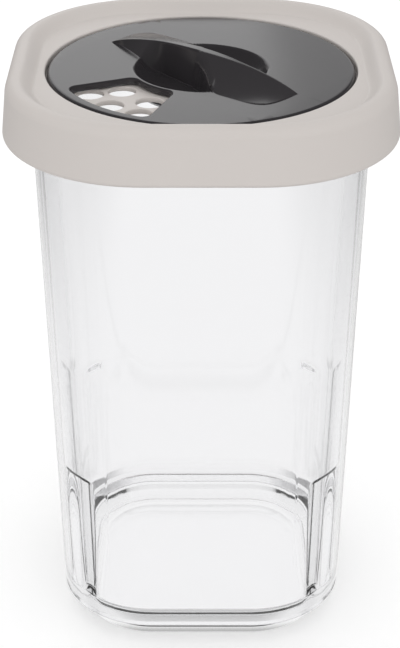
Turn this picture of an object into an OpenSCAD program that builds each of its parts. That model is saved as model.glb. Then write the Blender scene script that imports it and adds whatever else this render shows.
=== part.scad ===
// Spice shaker: a clear tapered jar, a push-on lid with a sieve deck, and a
// turning dial whose window opens one sieve zone at a time.
// Millimetres. Origin on the table under the middle of the jar, +Z up, front at -Y.

/* [Jar] */
// Height of the jar, from the table to the top of its rim
jar_h = 121; // [90:0.5:160]
// Outer width of the jar across its flats, at the rim
rim_w = 68.3; // [62:0.1:70]
// Outer width of the jar across its flats, just above the foot
base_w = 62.2; // [54:0.1:66]
// Straight part of each side of the jar and the lid, between the round corners
side_flat = 22; // [12:1:30]
// Thickness of the jar's wall
jar_wall = 1.3; // [1.2:0.1:3]
// How far the rim's outer bead stands out from the wall
bead_out = 0.7; // [0.4:0.1:2]
// Height of the rim's outer bead
bead_h = 2.6; // [1.6:0.1:4]
// Rounding of the rim's top edges
rim_round = 0.5; // [0.2:0.05:0.7]

/* [Jar base] */
// Height of the foot under the body
foot_h = 4.8; // [3:0.1:8]
// How far the foot is set in from the body's wall
foot_inset = 4.2; // [2:0.1:6]
// Rounding of the body's lower edge
base_round = 1; // [0.8:0.1:3]
// Rounding of the foot's lower edge
foot_round = 0.6; // [0.3:0.1:1.2]
// Width of the foot's ring, from its outer face to the edge of the inner floor
foot_ring = 3.8; // [3:0.1:5]
// Thickness of the floor at its edge
floor_t = 1.6; // [1.2:0.1:2.4]
// How far the floor is domed up in its middle
floor_rise = 1.4; // [0.6:0.1:2]
// Flat land between the floor's dome and the bevel, at the middle of each side
dome_land = 0.8; // [0.4:0.1:3]
// Height of the inner bevel above the body's lower edge
bevel_h = 4.4; // [3:0.1:8]

/* [Stacking ledges] */
// Height of the ledges inside the jar's four corners
ledge_z = 40.6; // [25:0.2:60]
// How far each ledge stands in from the wall
ledge_depth = 0.8; // [0.4:0.1:2]
// Angle of the corner's round that each ledge takes up
ledge_span = 24; // [12:1:36]
// Direction of each ledge's middle in its corner, measured from the left or right side
ledge_angle = 40; // [30:1:60]

/* [Lid] */
// How far the skirt hangs below the jar's rim
skirt_drop = 6.4; // [4:0.1:12]
// Thickness of the skirt
lid_wall = 2; // [1.4:0.1:2.6]
// How far the skirt leans out from its shoulder to its lip
skirt_lean = 1.2; // [0.6:0.1:2.4]
// Radius of the lid's outer shoulder
shoulder_r = 2.5; // [1.5:0.1:3.5]
// Rounding of the skirt's lip
lip_round = 0.9; // [0.4:0.1:1]
// Width of the crown, from the flat top to the shoulder
crown_w = 3; // [2:0.1:6]
// How far the crown stands above the flat top
crown_rise = 2.2; // [0.8:0.1:3]
// Thickness of the lid over the hollow under its crown
crown_t = 2.6; // [1.6:0.1:3.2]
// Least width of the hollow under the crown
crown_hollow = 0.6; // [0.4:0.1:2]
// How far the flat top stands above the dial
top_proud = 0.1; // [0.1:0.1:1.5]
// Flat land round the dial's recess, at the middle of each side
recess_land = 1.4; // [1:0.1:3]
// Thickness of the deck under the dial
deck_t = 1.2; // [0.8:0.1:2.6]
// Depth of the plug that goes into the jar's mouth
plug_depth = 7.5; // [5:0.1:12]
// Thickness of the plug's wall
plug_wall = 1.6; // [1:0.1:2.4]
// Gap between the plug and the jar's mouth
plug_fit = 0.1; // [0.05:0.01:0.3]
// Free room between the rim's bead and the lid
bead_fit = 0.4; // [0.3:0.1:1]

/* [Sieve] */
// Direction of the coarse sieve seen from the axis, which the window shows at rest
coarse_angle = 223; // [180:1:270]
// Diameter of the coarse sieve's holes
coarse_d = 5.8; // [3:0.1:6]
// Angle between the holes in the coarse sieve's outer row
coarse_out_step = 17.5; // [14:0.5:20]
// Angle between the holes in the coarse sieve's inner row
coarse_in_step = 26.5; // [20:0.5:30]
// Diameter of the fine sieve's holes
fine_d = 1.8; // [1:0.1:2.4]
// Least distance between neighbouring holes in a row of the fine sieve
fine_pitch = 3.4; // [3:0.1:5]
// Rows of holes in the fine sieve
fine_rows = 4; // [2:1:4]
// Angle from the first to the last hole in each row of the fine sieve
fine_spread = 37; // [30:1:42]
// Distance from the window's edges to the nearest rows of the fine sieve
fine_margin = 1.9; // [1.6:0.1:3]
// Distance from the window's outer edge to the outer row of coarse holes
row_from_out = 4.4; // [3.6:0.1:5]
// Distance from the window's inner edge to the inner row of coarse holes
row_from_in = 3.8; // [3.2:0.1:5]
// How far the pouring hole's ends lie inside the window's
pour_margin = 1; // [0.4:0.1:2]
// Angle that the pouring hole opens
pour_span = 42; // [30:1:56]

/* [Dial] */
// Diameter of the dial
dial_d = 63.1; // [56:0.1:70]
// Thickness of the dial's disc
dial_t = 1.5; // [1.4:0.1:3]
// Gap between the dial and the deck that it turns on
dial_lift = 0.2; // [0.1:0.05:0.4]
// Gap between the dial's edge and its recess
dial_gap = 0.35; // [0.2:0.05:0.6]
// Rounding of the dial's top edge
dial_round = 0.8; // [0.2:0.05:1]
// Diameter of the hub that turns in the deck
hub_d = 26; // [20:0.1:27]
// Radial gap between the hub and its bore
hub_fit = 0.06; // [0.03:0.01:0.15]
// How far the hub's retaining lip reaches under the deck
snap_out = 0.8; // [0.5:0.1:1.5]
// Height of the retaining lip
snap_h = 1.6; // [0.8:0.1:2]
// Gap between the deck and the retaining lip
snap_gap = 0.25; // [0.15:0.05:0.5]
// Diameter of the finger bowl
bowl_d = 27.2; // [22:0.1:28]
// Depth of the finger bowl
bowl_depth = 3.6; // [2.4:0.1:5]
// Diameter of the flat floor of the finger bowl
bowl_flat = 15; // [8:0.5:18]
// Thickness of the bowl's floor
bowl_floor = 1.2; // [1:0.1:2.4]
// Thickness of the hub's wall below the bowl's floor
hub_wall = 1.8; // [1.2:0.1:3]

/* [Window] */
// Direction of the window seen from the axis
window_angle = 226; // [180:1:270]
// Angle that the window opens
window_span = 46; // [30:1:60]
// Width of the dial's rim outside the window
window_rim = 2.55; // [1.8:0.05:5]
// Width of the web between the finger bowl and the window
window_web = 0.9; // [0.6:0.1:4]
// Rounding of the corners of the window and the pouring hole
window_round = 1.8; // [0.6:0.1:2.4]

/* [Fin] */
// Length of the grip fin from tip to tip
fin_len = 48.4; // [36:0.2:56]
// Height of the fin's crest above the dial
fin_rise = 3.9; // [2.5:0.1:6]
// Width of the crest's flat top, at its middle
fin_top_w = 1.9; // [1.2:0.1:4]
// Width of the crest's flat top, at its tips
fin_tip_w = 0.5; // [0.3:0.1:1]
// How much the top widens towards the broad flank, halfway to each tip
fin_shoulder = 0.4; // [0.4:0.1:2.4]
// How far the steep flank spreads at the middle of the fin
fin_waist = 2.2; // [0.3:0.1:3]
// How far the steep flank spreads where the fin crosses the bowl's edge
fin_spread = 3.6; // [1.4:0.1:5]
// How far the broad flank spreads outside the bowl
fin_ramp = 9; // [5:0.1:10]
// Distance from the fin's middle at which the broad flank is fully spread
ramp_from = 13; // [8:0.5:14]
// Power that squares off the end of the broad flank
ramp_square = 16; // [4:1:24]
// How far the flanks run into the surface that they rise from
fin_sink = 0.1; // [0.05:0.05:0.4]
// Power of the crest's arch: 0.5 is an ellipse and 1 a parabola
fin_arch = 0.8; // [0.5:0.05:1]
// Power that keeps the steep flank narrow in the bowl: more holds the waist longer
fin_hold = 2; // [1:1:8]
// Direction of the fin
fin_angle = -39; // [-60:1:-20]

/* [Hidden] */
$fn = 96;
// Straight steps in each rounded stretch of a swept outline
arc_steps = 6;
// Cross sections along the fin, and points down each of its flanks
fin_steps = 28;
flank_steps = 5;
// Small depth by which a cut passes a face, or one solid joins another
bite = 0.6;

// The four corners of the jar and the lid turn about these points
corner = side_flat / 2;

// Jar: half widths and heights
body_z = foot_h + base_round;
wall_lean = (rim_w - base_w) / 2 / (jar_h - body_z);
foot_x = base_w / 2 - foot_inset;
floor_x = foot_x - foot_ring;
dome_r = floor_x - dome_land;
bevel_z = foot_h + bevel_h;
bead_z = jar_h - bead_h;
function wall_x(z) = base_w / 2 + wall_lean * (z - body_z);
function mouth_x(z) = wall_x(z) - jar_wall;

// Heights of the lid and the dial, from the jar's rim upward
deck_z = jar_h + deck_t;
dial_z = deck_z + dial_lift;
dial_top = dial_z + dial_t;
top_z = dial_top + top_proud;
crown_z = top_z + crown_rise;
lip_z = jar_h - skirt_drop;
shoulder_z = crown_z - shoulder_r;

// Lid: half widths, wide enough both for the dial and for the jar's bead
recess_r = dial_d / 2 + dial_gap;
bead_x = wall_x(jar_h) + bead_out;
groove_x = bead_x + bead_fit;
crown_x = max(recess_r + recess_land + crown_w, groove_x + crown_hollow + lid_wall - shoulder_r);
shoulder_x = crown_x + shoulder_r;
lip_x = shoulder_x + skirt_lean;
groove_out_x = shoulder_x - lid_wall;
groove_top = crown_z - crown_t;
plug_z = jar_h - plug_depth;

// Dial: radii and heights
hub_r = hub_d / 2;
bore_r = hub_r + hub_fit;
snap_z = jar_h - snap_gap;
hub_z = min(snap_z - snap_h, dial_top - bowl_depth - bowl_floor);
bowl_run = (bowl_d - bowl_flat) / 2;
bowl_r = (bowl_run * bowl_run + bowl_depth * bowl_depth) / (2 * bowl_depth);
window_in = max(bowl_d, hub_d) / 2 + window_web;
window_out = dial_d / 2 - window_rim;
row_out = window_out - row_from_out;
row_in = window_in + row_from_in;
half_fin = fin_len / 2;

// Points of an arc in the plane of a swept outline
function arc(cx, cz, r, from, to) = [
    for (i = [0 : arc_steps])
    let (a = from + (to - from) * i / arc_steps)
    [cx + r * cos(a), cz + r * sin(a)]
];

// Smooth step from 0 to 1
function ease(t) = (1 - cos(180 * t)) / 2;

// Sweeps an outline, given as half width and height, round the corners of a rounded square.
// The angles run from the left and right sides in every corner, so the four corners mirror each other.
module sweep(outline, from = 0, to = 90) {
    turned = [for (p = outline) [p[0] - corner, p[1]]];
    for (quarter = [0 : 3]) rotate(90 * quarter) translate([corner, corner]) {
        rotate(quarter % 2 == 0 ? from : 90 - to) rotate_extrude(angle = to - from) polygon(turned);
    }
}

// The straight sides that join the swept corners
module sides(outline) {
    for (quarter = [0 : 90 : 270]) rotate(quarter) {
        rotate([90, 0, 0]) linear_extrude(side_flat, center = true) polygon(outline);
    }
}

// The square between the swept corners and the sides
module middle(low, high) {
    translate([-corner, -corner, low]) cube([side_flat, side_flat, high - low]);
}

// Half section of the jar
jar_outline = concat(
    [[corner, 0]],
    arc(foot_x - foot_round, foot_round, foot_round, -90, 0),
    [[foot_x, foot_h]],
    arc(base_w / 2 - base_round, body_z, base_round, -90, 0),
    [[wall_x(bead_z - bead_out), bead_z - bead_out], [bead_x, bead_z]],
    arc(bead_x - rim_round, jar_h - rim_round, rim_round, 0, 90),
    arc(mouth_x(jar_h) + rim_round, jar_h - rim_round, rim_round, 90, 180),
    [[mouth_x(bevel_z), bevel_z], [floor_x, floor_t], [corner, floor_t]]
);

// Half section of a stacking ledge, from inside the wall to its face, and down into the bevel
ledge_outline = [
    [mouth_x(ledge_z) + bite, ledge_z],
    [mouth_x(ledge_z) - ledge_depth, ledge_z],
    [mouth_x(body_z) - ledge_depth, body_z],
    [mouth_x(body_z) + bite, body_z]
];

// A ball whose top cap rises by this much over this radius, with the cap's edge at this height
module cap_ball(rim_r, rise, edge_z) {
    ball_r = (rim_r * rim_r + rise * rise) / (2 * rise);
    translate([0, 0, edge_z + rise - ball_r]) sphere(ball_r, $fn = 180);
}

module jar() {
    color([0.90, 0.92, 0.94, 0.4]) difference() {
        union() {
            sides(jar_outline);
            sweep(jar_outline);
            sweep(ledge_outline, ledge_angle - ledge_span / 2, ledge_angle + ledge_span / 2);
            middle(0, floor_t);
            intersection() {
                translate([0, 0, floor_t - bite]) cylinder(r = dome_r, h = floor_rise + bite);
                cap_ball(dome_r, floor_rise, floor_t);
            }
        }
        cap_ball(dome_r, floor_rise, 0);
    }
}

// Half section of the lid's top and skirt, without the dial's recess
lid_outline = concat(
    [[corner, jar_h], [groove_x, jar_h], [groove_x, groove_top]],
    [[groove_out_x, groove_top], [lip_x - lid_wall, lip_z]],
    arc(lip_x - lip_round, lip_z + lip_round, lip_round, -90, 0),
    arc(crown_x, shoulder_z, shoulder_r, 0, 90),
    [
        for (i = [1 : arc_steps])
        let (t = i / arc_steps)
        [crown_x - crown_w * t, crown_z - crown_rise * ease(t)]
    ],
    [[corner, top_z]]
);

// Half section of the plug, parallel to the jar's mouth, with a lead-in at its lower edge
plug_outline = [
    [mouth_x(plug_z) - plug_fit - plug_wall, plug_z],
    [mouth_x(plug_z) - plug_fit - plug_wall / 2, plug_z],
    [mouth_x(plug_z) - plug_fit, plug_z + plug_wall],
    [mouth_x(jar_h - rim_round) - plug_fit, jar_h - rim_round],
    [mouth_x(jar_h - rim_round) - plug_fit, jar_h + bite],
    [mouth_x(plug_z) - plug_fit - plug_wall, jar_h + bite]
];

// Points of a ring sector about the X axis, with the given half angle and round corners
function sector(inner, outer, half, round) =
    let (
        out_r = outer - round,
        in_r = inner + round,
        out_a = half - asin(round / out_r),
        in_a = half - asin(round / in_r)
    )
    concat(
        arc(0, 0, outer, -out_a, out_a),
        arc(out_r * cos(out_a), out_r * sin(out_a), round, out_a, half + 90),
        arc(in_r * cos(in_a), in_r * sin(in_a), round, half + 90, in_a + 180),
        arc(0, 0, inner, in_a, -in_a),
        arc(in_r * cos(in_a), -in_r * sin(in_a), round, 180 - in_a, 270 - half),
        arc(out_r * cos(out_a), -out_r * sin(out_a), round, -90 - half, -out_a)
    );

// One upright hole in the deck, at this radius and direction
module deck_hole(radius, direction, d) {
    rotate(direction) translate([radius, 0, jar_h - bite]) cylinder(d = d, h = deck_t + 2 * bite);
}

module coarse_holes() {
    for (k = [-1 : 1]) deck_hole(row_out, coarse_angle + k * coarse_out_step, coarse_d);
    for (k = [-0.5, 0.5]) deck_hole(row_in, coarse_angle + k * coarse_in_step, coarse_d);
}

// The fine sieve lies a quarter turn past the coarse one
module fine_holes() {
    first = window_in + fine_margin;
    last = window_out - fine_margin;
    for (row = [0 : fine_rows - 1]) {
        radius = first + (last - first) * row / (fine_rows - 1);
        gaps = floor(fine_spread * PI / 180 * radius / fine_pitch);
        for (k = [0 : gaps]) {
            deck_hole(radius, coarse_angle + 90 + fine_spread * (k / gaps - 0.5), fine_d);
        }
    }
}

// The pouring hole lies a quarter turn before the coarse sieve
module pour_hole() {
    outline = sector(window_in + pour_margin, window_out - pour_margin, pour_span / 2, window_round);
    rotate(coarse_angle - 90) translate([0, 0, jar_h - bite]) {
        linear_extrude(deck_t + 2 * bite) polygon(outline);
    }
}

module lid() {
    color([0.83, 0.80, 0.78]) difference() {
        union() {
            sweep(lid_outline);
            sides(lid_outline);
            middle(jar_h, top_z);
            sweep(plug_outline);
            sides(plug_outline);
        }
        translate([0, 0, deck_z]) cylinder(r = recess_r, h = crown_rise + top_z - deck_z, $fn = 180);
        translate([0, 0, jar_h - bite]) cylinder(r = bore_r, h = deck_t + 2 * bite);
        coarse_holes();
        fine_holes();
        pour_hole();
    }
}

// Height of the bowl's surface above the dial's top, zero outside the bowl
function bowl_dip(radius) =
    radius < bowl_d / 2
        ? bowl_r - bowl_depth - sqrt(bowl_r * bowl_r - pow(max(0, radius - bowl_flat / 2), 2))
        : 0;

// Half section of the bowl's surface, lowered by this much, from the axis to the bowl's edge
function bowl_outline(lower) = concat(
    [[0, -bowl_depth - lower]],
    arc(bowl_flat / 2, bowl_r - bowl_depth - lower, bowl_r, -90, 2 * atan2(bowl_depth, bowl_run) - 90)
);

// Half width of the crest's top at this distance from the middle, on the side of the steep flank
function steep_top(a) = max(fin_tip_w, fin_top_w * pow(1 - a / half_fin, 2)) / 2;

// Half width of the crest's top at this distance from the middle, on the side of the broad flank
function broad_top(a) =
    max(fin_tip_w / 2, (fin_top_w / 2 + fin_shoulder * sin(180 * a / half_fin)) * (1 - pow(a / half_fin, 4)));

// How far the steep flank spreads at this distance from the fin's middle
function steep_spread(a) =
    a < bowl_d / 2
        ? fin_waist + (fin_spread - fin_waist) * pow(a / (bowl_d / 2), fin_hold)
        : fin_spread * (half_fin - a) / (half_fin - bowl_d / 2);

// How far the broad flank spreads at this distance from the fin's middle
function broad_spread(a) =
    let (
        grown = ease(min(1, a / ramp_from)),
        ramp = fin_ramp * sqrt(max(0, 1 - pow(a / half_fin, ramp_square)))
    )
    steep_spread(a) * (1 - grown) + ramp * grown;

// One side of a cross section of the fin: the edge of its flat top, a hollow flank, and down into the dial.
// Each flank is broad on one half of the fin and steep on the other, and a half turn swaps them.
function fin_side(u, side) =
    let (
        a = abs(u),
        broad = side * u < 0,
        top = broad ? broad_top(a) : steep_top(a),
        spread = broad ? broad_spread(a) : steep_spread(a),
        crest = fin_rise * pow(max(0, 1 - pow(u / half_fin, 2)), fin_arch),
        foot = bowl_dip(norm([u, top + spread])) - fin_sink
    )
    concat(
        [for (i = [0 : flank_steps]) let (t = i / flank_steps)
            [u, side * (top + spread * t * t), crest + (foot - crest) * t]],
        [[u, side * (top + spread), -bowl_depth - bite]]
    );

// One cross section of the fin
function fin_section(u) =
    let (left = fin_side(u, 1), right = fin_side(u, -1))
    concat(left, [for (i = [len(right) - 1 : -1 : 0]) right[i]]);

module fin() {
    stations = [for (i = [0 : fin_steps]) half_fin * sin(-90 + 180 * i / fin_steps)];
    sections = [for (u = stations) fin_section(u)];
    ring = len(sections[0]);
    points = [for (s = sections) each s];
    walls = [for (i = [0 : fin_steps - 1], j = [0 : ring - 1])
        let (a = i * ring + j, b = i * ring + (j + 1) % ring)
        each [[a, b, b + ring], [a, b + ring, a + ring]]];
    last = fin_steps * ring;
    first_end = [for (j = [0 : ring / 2 - 2]) let (k = ring - 1 - j)
        each [[j, k, k - 1], [j, k - 1, j + 1]]];
    last_end = [for (j = [0 : ring / 2 - 2]) let (k = ring - 1 - j)
        each [[last + j, last + k - 1, last + k], [last + j, last + j + 1, last + k - 1]]];
    above = fin_rise + bite;
    intersection() {
        rotate(fin_angle) polyhedron(points, concat(walls, first_end, last_end));
        rotate_extrude($fn = 180) polygon(concat(
            bowl_outline(bite),
            [[dial_d / 2, -bite], [dial_d / 2, above], [0, above]]
        ));
    }
}

// The dial's disc with its hub and the hub's retaining lip
module dial_blank() {
    rotate_extrude($fn = 180) polygon(concat(
        [[0, hub_z], [hub_r, hub_z], [hub_r + snap_out, snap_z - snap_h / 2], [hub_r + snap_out, snap_z]],
        [[hub_r, snap_z], [hub_r, dial_z], [dial_d / 2, dial_z]],
        arc(dial_d / 2 - dial_round, dial_top - dial_round, dial_round, 0, 90),
        [[0, dial_top]]
    ));
}

module dial() {
    pocket_top = dial_top - bowl_depth - bowl_floor;
    color([0.24, 0.23, 0.23]) union() {
        difference() {
            dial_blank();
            translate([0, 0, dial_top]) rotate_extrude($fn = 180) {
                polygon(concat(bowl_outline(0), [[bowl_d / 2, bite], [0, bite]]));
            }
            translate([0, 0, hub_z - bite]) cylinder(r = hub_r - hub_wall, h = pocket_top - hub_z + bite);
            rotate(window_angle) translate([0, 0, dial_z - bite]) {
                linear_extrude(dial_t + 2 * bite) {
                    polygon(sector(window_in, window_out, window_span / 2, window_round));
                }
            }
        }
        translate([0, 0, dial_top]) fin();
    }
}

jar();
lid();
dial();
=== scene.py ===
"""Builds the looks of a spice shaker: a clear jar, a push-on lid and a turning sieve dial."""

import math

import bpy
from bpy.props import FloatProperty, FloatVectorProperty, PointerProperty
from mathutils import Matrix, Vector


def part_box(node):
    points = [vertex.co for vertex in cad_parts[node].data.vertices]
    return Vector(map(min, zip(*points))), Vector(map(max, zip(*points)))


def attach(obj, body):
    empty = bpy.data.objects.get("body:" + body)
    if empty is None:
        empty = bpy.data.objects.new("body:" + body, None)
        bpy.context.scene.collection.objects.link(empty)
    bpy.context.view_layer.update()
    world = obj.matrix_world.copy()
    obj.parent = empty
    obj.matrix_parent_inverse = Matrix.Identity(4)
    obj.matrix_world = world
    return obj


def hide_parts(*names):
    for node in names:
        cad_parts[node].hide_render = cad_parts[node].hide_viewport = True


bl_info = {
    "name": "Spice shaker",
    "version": (1, 0, 0),
    "blender": (4, 5, 0),
    "location": "View3D > Sidebar > Shaker",
    "description": "Builds a spice shaker from a clear jar, a push-on lid and a turning sieve dial",
    "category": "Object",
}

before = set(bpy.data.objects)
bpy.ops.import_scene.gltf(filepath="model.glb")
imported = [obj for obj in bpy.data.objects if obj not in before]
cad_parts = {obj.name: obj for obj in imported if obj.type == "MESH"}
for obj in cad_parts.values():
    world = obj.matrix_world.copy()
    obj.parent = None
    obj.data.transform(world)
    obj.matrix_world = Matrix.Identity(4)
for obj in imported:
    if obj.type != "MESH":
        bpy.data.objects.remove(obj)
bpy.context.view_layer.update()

MM = 0.001
QUARTER = math.pi / 2
JAR_LOW, JAR_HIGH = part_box("jar")
LID_LOW, LID_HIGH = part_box("lid")
DIAL_LOW, DIAL_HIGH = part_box("dial")

# Roundings of the small edges that have no setting of their own
CRISP = 0.15 * MM
FINE = 0.2 * MM
SOFT = 0.4 * MM
# Share of a full arc or rounding that is used, so that its ends stay apart
NEARLY = 0.98
# Shares of the way out at which the domes above and below the jar's floor have rings
DOME_SHARES = (0.03, 0.12, 0.3, 0.5, 0.7, 0.85, 0.95)
# Power of the crown's slope that is mixed half and half with a smooth step
CROWN_POWER = 1.6
# Power that narrows the crest of the fin towards its tips
CREST_TAPER = 4
# Power that squares off the fin's broad flank at its end
RAMP_SQUARE = 16
# Power that draws the fin's steep flank in beyond the bowl
FLARE_TAPER = 1.4
# Distance inside the bowl's rim over which the broad flank's brow fades out
BROW_FADE = 2.5 * MM
# Largest rounding of the brow, as a share of the flank's run
BROW_SHARE = 1.4
# How far the broad flank's wall in the bowl leans out for its depth
WALL_LEAN = 0.12
# How far a flank runs on, as a share of its length, so that it crosses the surface below it
FLANK_RUN = 1.4
# Least step from the crest's edge to the end of a flank, and least rounding
SLIVER = 0.02 * MM


# Properties

def length(label, about, metres):
    """A size in metres that shows in the scene's own unit."""
    return FloatProperty(
        name=label, description=about, default=metres, unit="LENGTH", subtype="DISTANCE", precision=4)


def turn(label, about, degrees):
    """An angle, given in degrees."""
    return FloatProperty(name=label, description=about, default=math.radians(degrees), subtype="ANGLE")


def share(label, about, value, highest=1.0):
    """A plain number from 0 to a highest value."""
    return FloatProperty(name=label, description=about, default=value, min=0.0, max=highest)


def colour(label, about, red, green, blue):
    """A linear colour."""
    return FloatVectorProperty(
        name=label, description=about, default=(red, green, blue), subtype="COLOR", min=0.0, max=1.0)


class ShakerJarSettings(bpy.types.PropertyGroup):
    """Sizes and finish of the clear jar"""
    height: length("Height", "From the table to the top of the rim", JAR_HIGH[2])
    rim_width: length("Rim width", "Outer width across the flats, at the rim", 68.3 * MM)
    base_width: length("Base width", "Outer width across the flats, above the foot", 62.2 * MM)
    side_flat: length("Side flat", "Straight part of each side, between the round corners", 22 * MM)
    wall: length("Wall", "Thickness of the wall", 1.3 * MM)
    bead_out: length("Bead", "How far the rim's bead stands out from the wall", 0.7 * MM)
    bead_height: length("Bead height", "Height of the rim's bead", 2.6 * MM)
    bead_round: length("Bead rounding", "Rounding of the bead's lower edge", 0.3 * MM)
    rim_round: length("Rim rounding", "Rounding of the rim's top edges", 0.5 * MM)
    foot_height: length("Foot height", "Height of the foot under the body", 4.8 * MM)
    foot_inset: length("Foot inset", "How far the foot is set in from the wall", 4.2 * MM)
    foot_ring: length("Foot ring", "Width of the ring that stands on the table", 3.8 * MM)
    foot_round: length("Foot rounding", "Rounding of the foot's lower edge", 0.6 * MM)
    step_round: length("Step rounding", "Rounding where the foot meets the body", 0.5 * MM)
    hollow_land: length("Hollow land", "From the foot's ring to the hollow under the floor", 1 * MM)
    hollow_rise: length("Hollow rise", "How far the hollow's edge clears the table", 0.1 * MM)
    base_round: length("Base rounding", "Rounding of the body's lower edge", 0.9 * MM)
    floor_thickness: length("Floor thickness", "Thickness of the floor at its edge", 1.6 * MM)
    floor_rise: length("Floor rise", "How far the floor is domed up in its middle", 1.4 * MM)
    floor_land: length("Floor land", "Flat between the floor's dome and the bevel", 2 * MM)
    floor_round: length("Floor rounding", "Rounding where the bevel meets the floor", 1 * MM)
    bevel_height: length("Bevel height", "Height of the inner bevel above the foot", 4.4 * MM)
    bevel_round: length("Bevel rounding", "Rounding of the bevel's upper edge", 1.2 * MM)
    ledge_height: length("Ledge height", "Height of the ledges in the corners", 40.6 * MM)
    ledge_depth: length("Ledge depth", "How far each ledge stands in from the wall", 0.8 * MM)
    ledge_angle: turn("Ledge angle", "Middle of each ledge in its corner, from the left or right side", 40)
    ledge_width: length("Ledge width", "Width of the rounded column under each ledge", 9.6 * MM)
    ledge_fall: length("Ledge fall", "Height over which the column's top falls to the wall", 0.9 * MM)
    tint: colour("Tint", "Colour that the clear plastic lets through", 0.99, 0.99, 0.995)
    depth_tint: colour("Depth tint", "Colour that thick plastic shows", 0.44, 0.44, 0.46)
    depth: share("Depth", "How fast thick plastic takes on its colour", 28, 100)
    index: share("Refraction", "Index of refraction of the clear plastic", 1.53, 2.0)


class ShakerLidSettings(bpy.types.PropertyGroup):
    """Sizes and finish of the push-on lid"""
    width: length("Width", "Width over the lip", LID_HIGH[0] - LID_LOW[0])
    lip_height: length("Lip height", "Height of the lip above the table", 114.6 * MM)
    wall: length("Wall", "Thickness of the skirt", 2 * MM)
    skirt_lean: length("Skirt lean", "How far the skirt leans out from shoulder to lip", 1.2 * MM)
    shoulder: length("Shoulder", "Radius of the outer shoulder", 2.5 * MM)
    lip_round: length("Lip rounding", "Rounding of the lip", 0.9 * MM)
    crown_width: length("Crown width", "From the flat top to the shoulder", 3 * MM)
    crown_rise: length("Crown rise", "How far the crown stands above the flat top", 2.2 * MM)
    crown_thickness: length("Crown thickness", "Thickness over the hollow under the crown", 2.6 * MM)
    deck: length("Deck", "Thickness of the sieve deck", 1.2 * MM)
    deck_round: length("Deck rounding", "Rounding of the deck's edges", 0.25 * MM)
    recess_round: length("Recess rounding", "Rounding of the recess's upper edge", 0.35 * MM)
    dial_gap: length("Dial gap", "Gap between the dial's edge and its recess", 0.35 * MM)
    plug_wall: length("Plug wall", "Thickness of the plug's wall", 1.6 * MM)
    plug_fit: length("Plug fit", "Gap between the plug and the jar's mouth", 0.1 * MM)
    bead_fit: length("Bead room", "Free room between the rim's bead and the lid", 0.4 * MM)
    coarse_angle: turn("Coarse sieve", "Direction of the coarse sieve from the axis", 223)
    coarse_hole: length("Coarse hole", "Diameter of the coarse sieve's holes", 5.6 * MM)
    coarse_outer: length("Coarse outer row", "From the window's outer side to the outer row", 4.4 * MM)
    coarse_inner: length("Coarse inner row", "From the window's inner side to the inner row", 3.8 * MM)
    outer_step: turn("Outer step", "Angle between the holes of the outer row", 17.5)
    inner_step: turn("Inner step", "Angle between the holes of the inner row", 26.5)
    fine_hole: length("Fine hole", "Diameter of the fine sieve's holes", 1.8 * MM)
    fine_margin: length("Fine margin", "From the window's sides to the fine sieve's rows", 1.9 * MM)
    fine_pitch: length("Fine pitch", "Least distance between the fine holes of a row", 3.4 * MM)
    fine_spread: turn("Fine spread", "Angle that the fine sieve covers", 37)
    pour_span: turn("Pouring span", "Angle that the pouring hole opens", 42)
    pour_margin: length("Pouring margin", "From the window's sides to the pouring hole", 1 * MM)
    hole_round: length("Hole rounding", "Rounding of the upper rims of the coarse holes", 0.25 * MM)
    hole_flare: length("Hole flare", "Rounding of the lower rims of the coarse holes", 0.5 * MM)
    fine_round: length("Fine rounding", "Rounding of the rims of the fine holes", 0.2 * MM)
    tint: colour("Tint", "Colour of the lid's satin plastic", 0.715, 0.668, 0.637)
    roughness: share("Roughness", "Roughness of the lid's satin plastic", 0.5)


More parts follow.
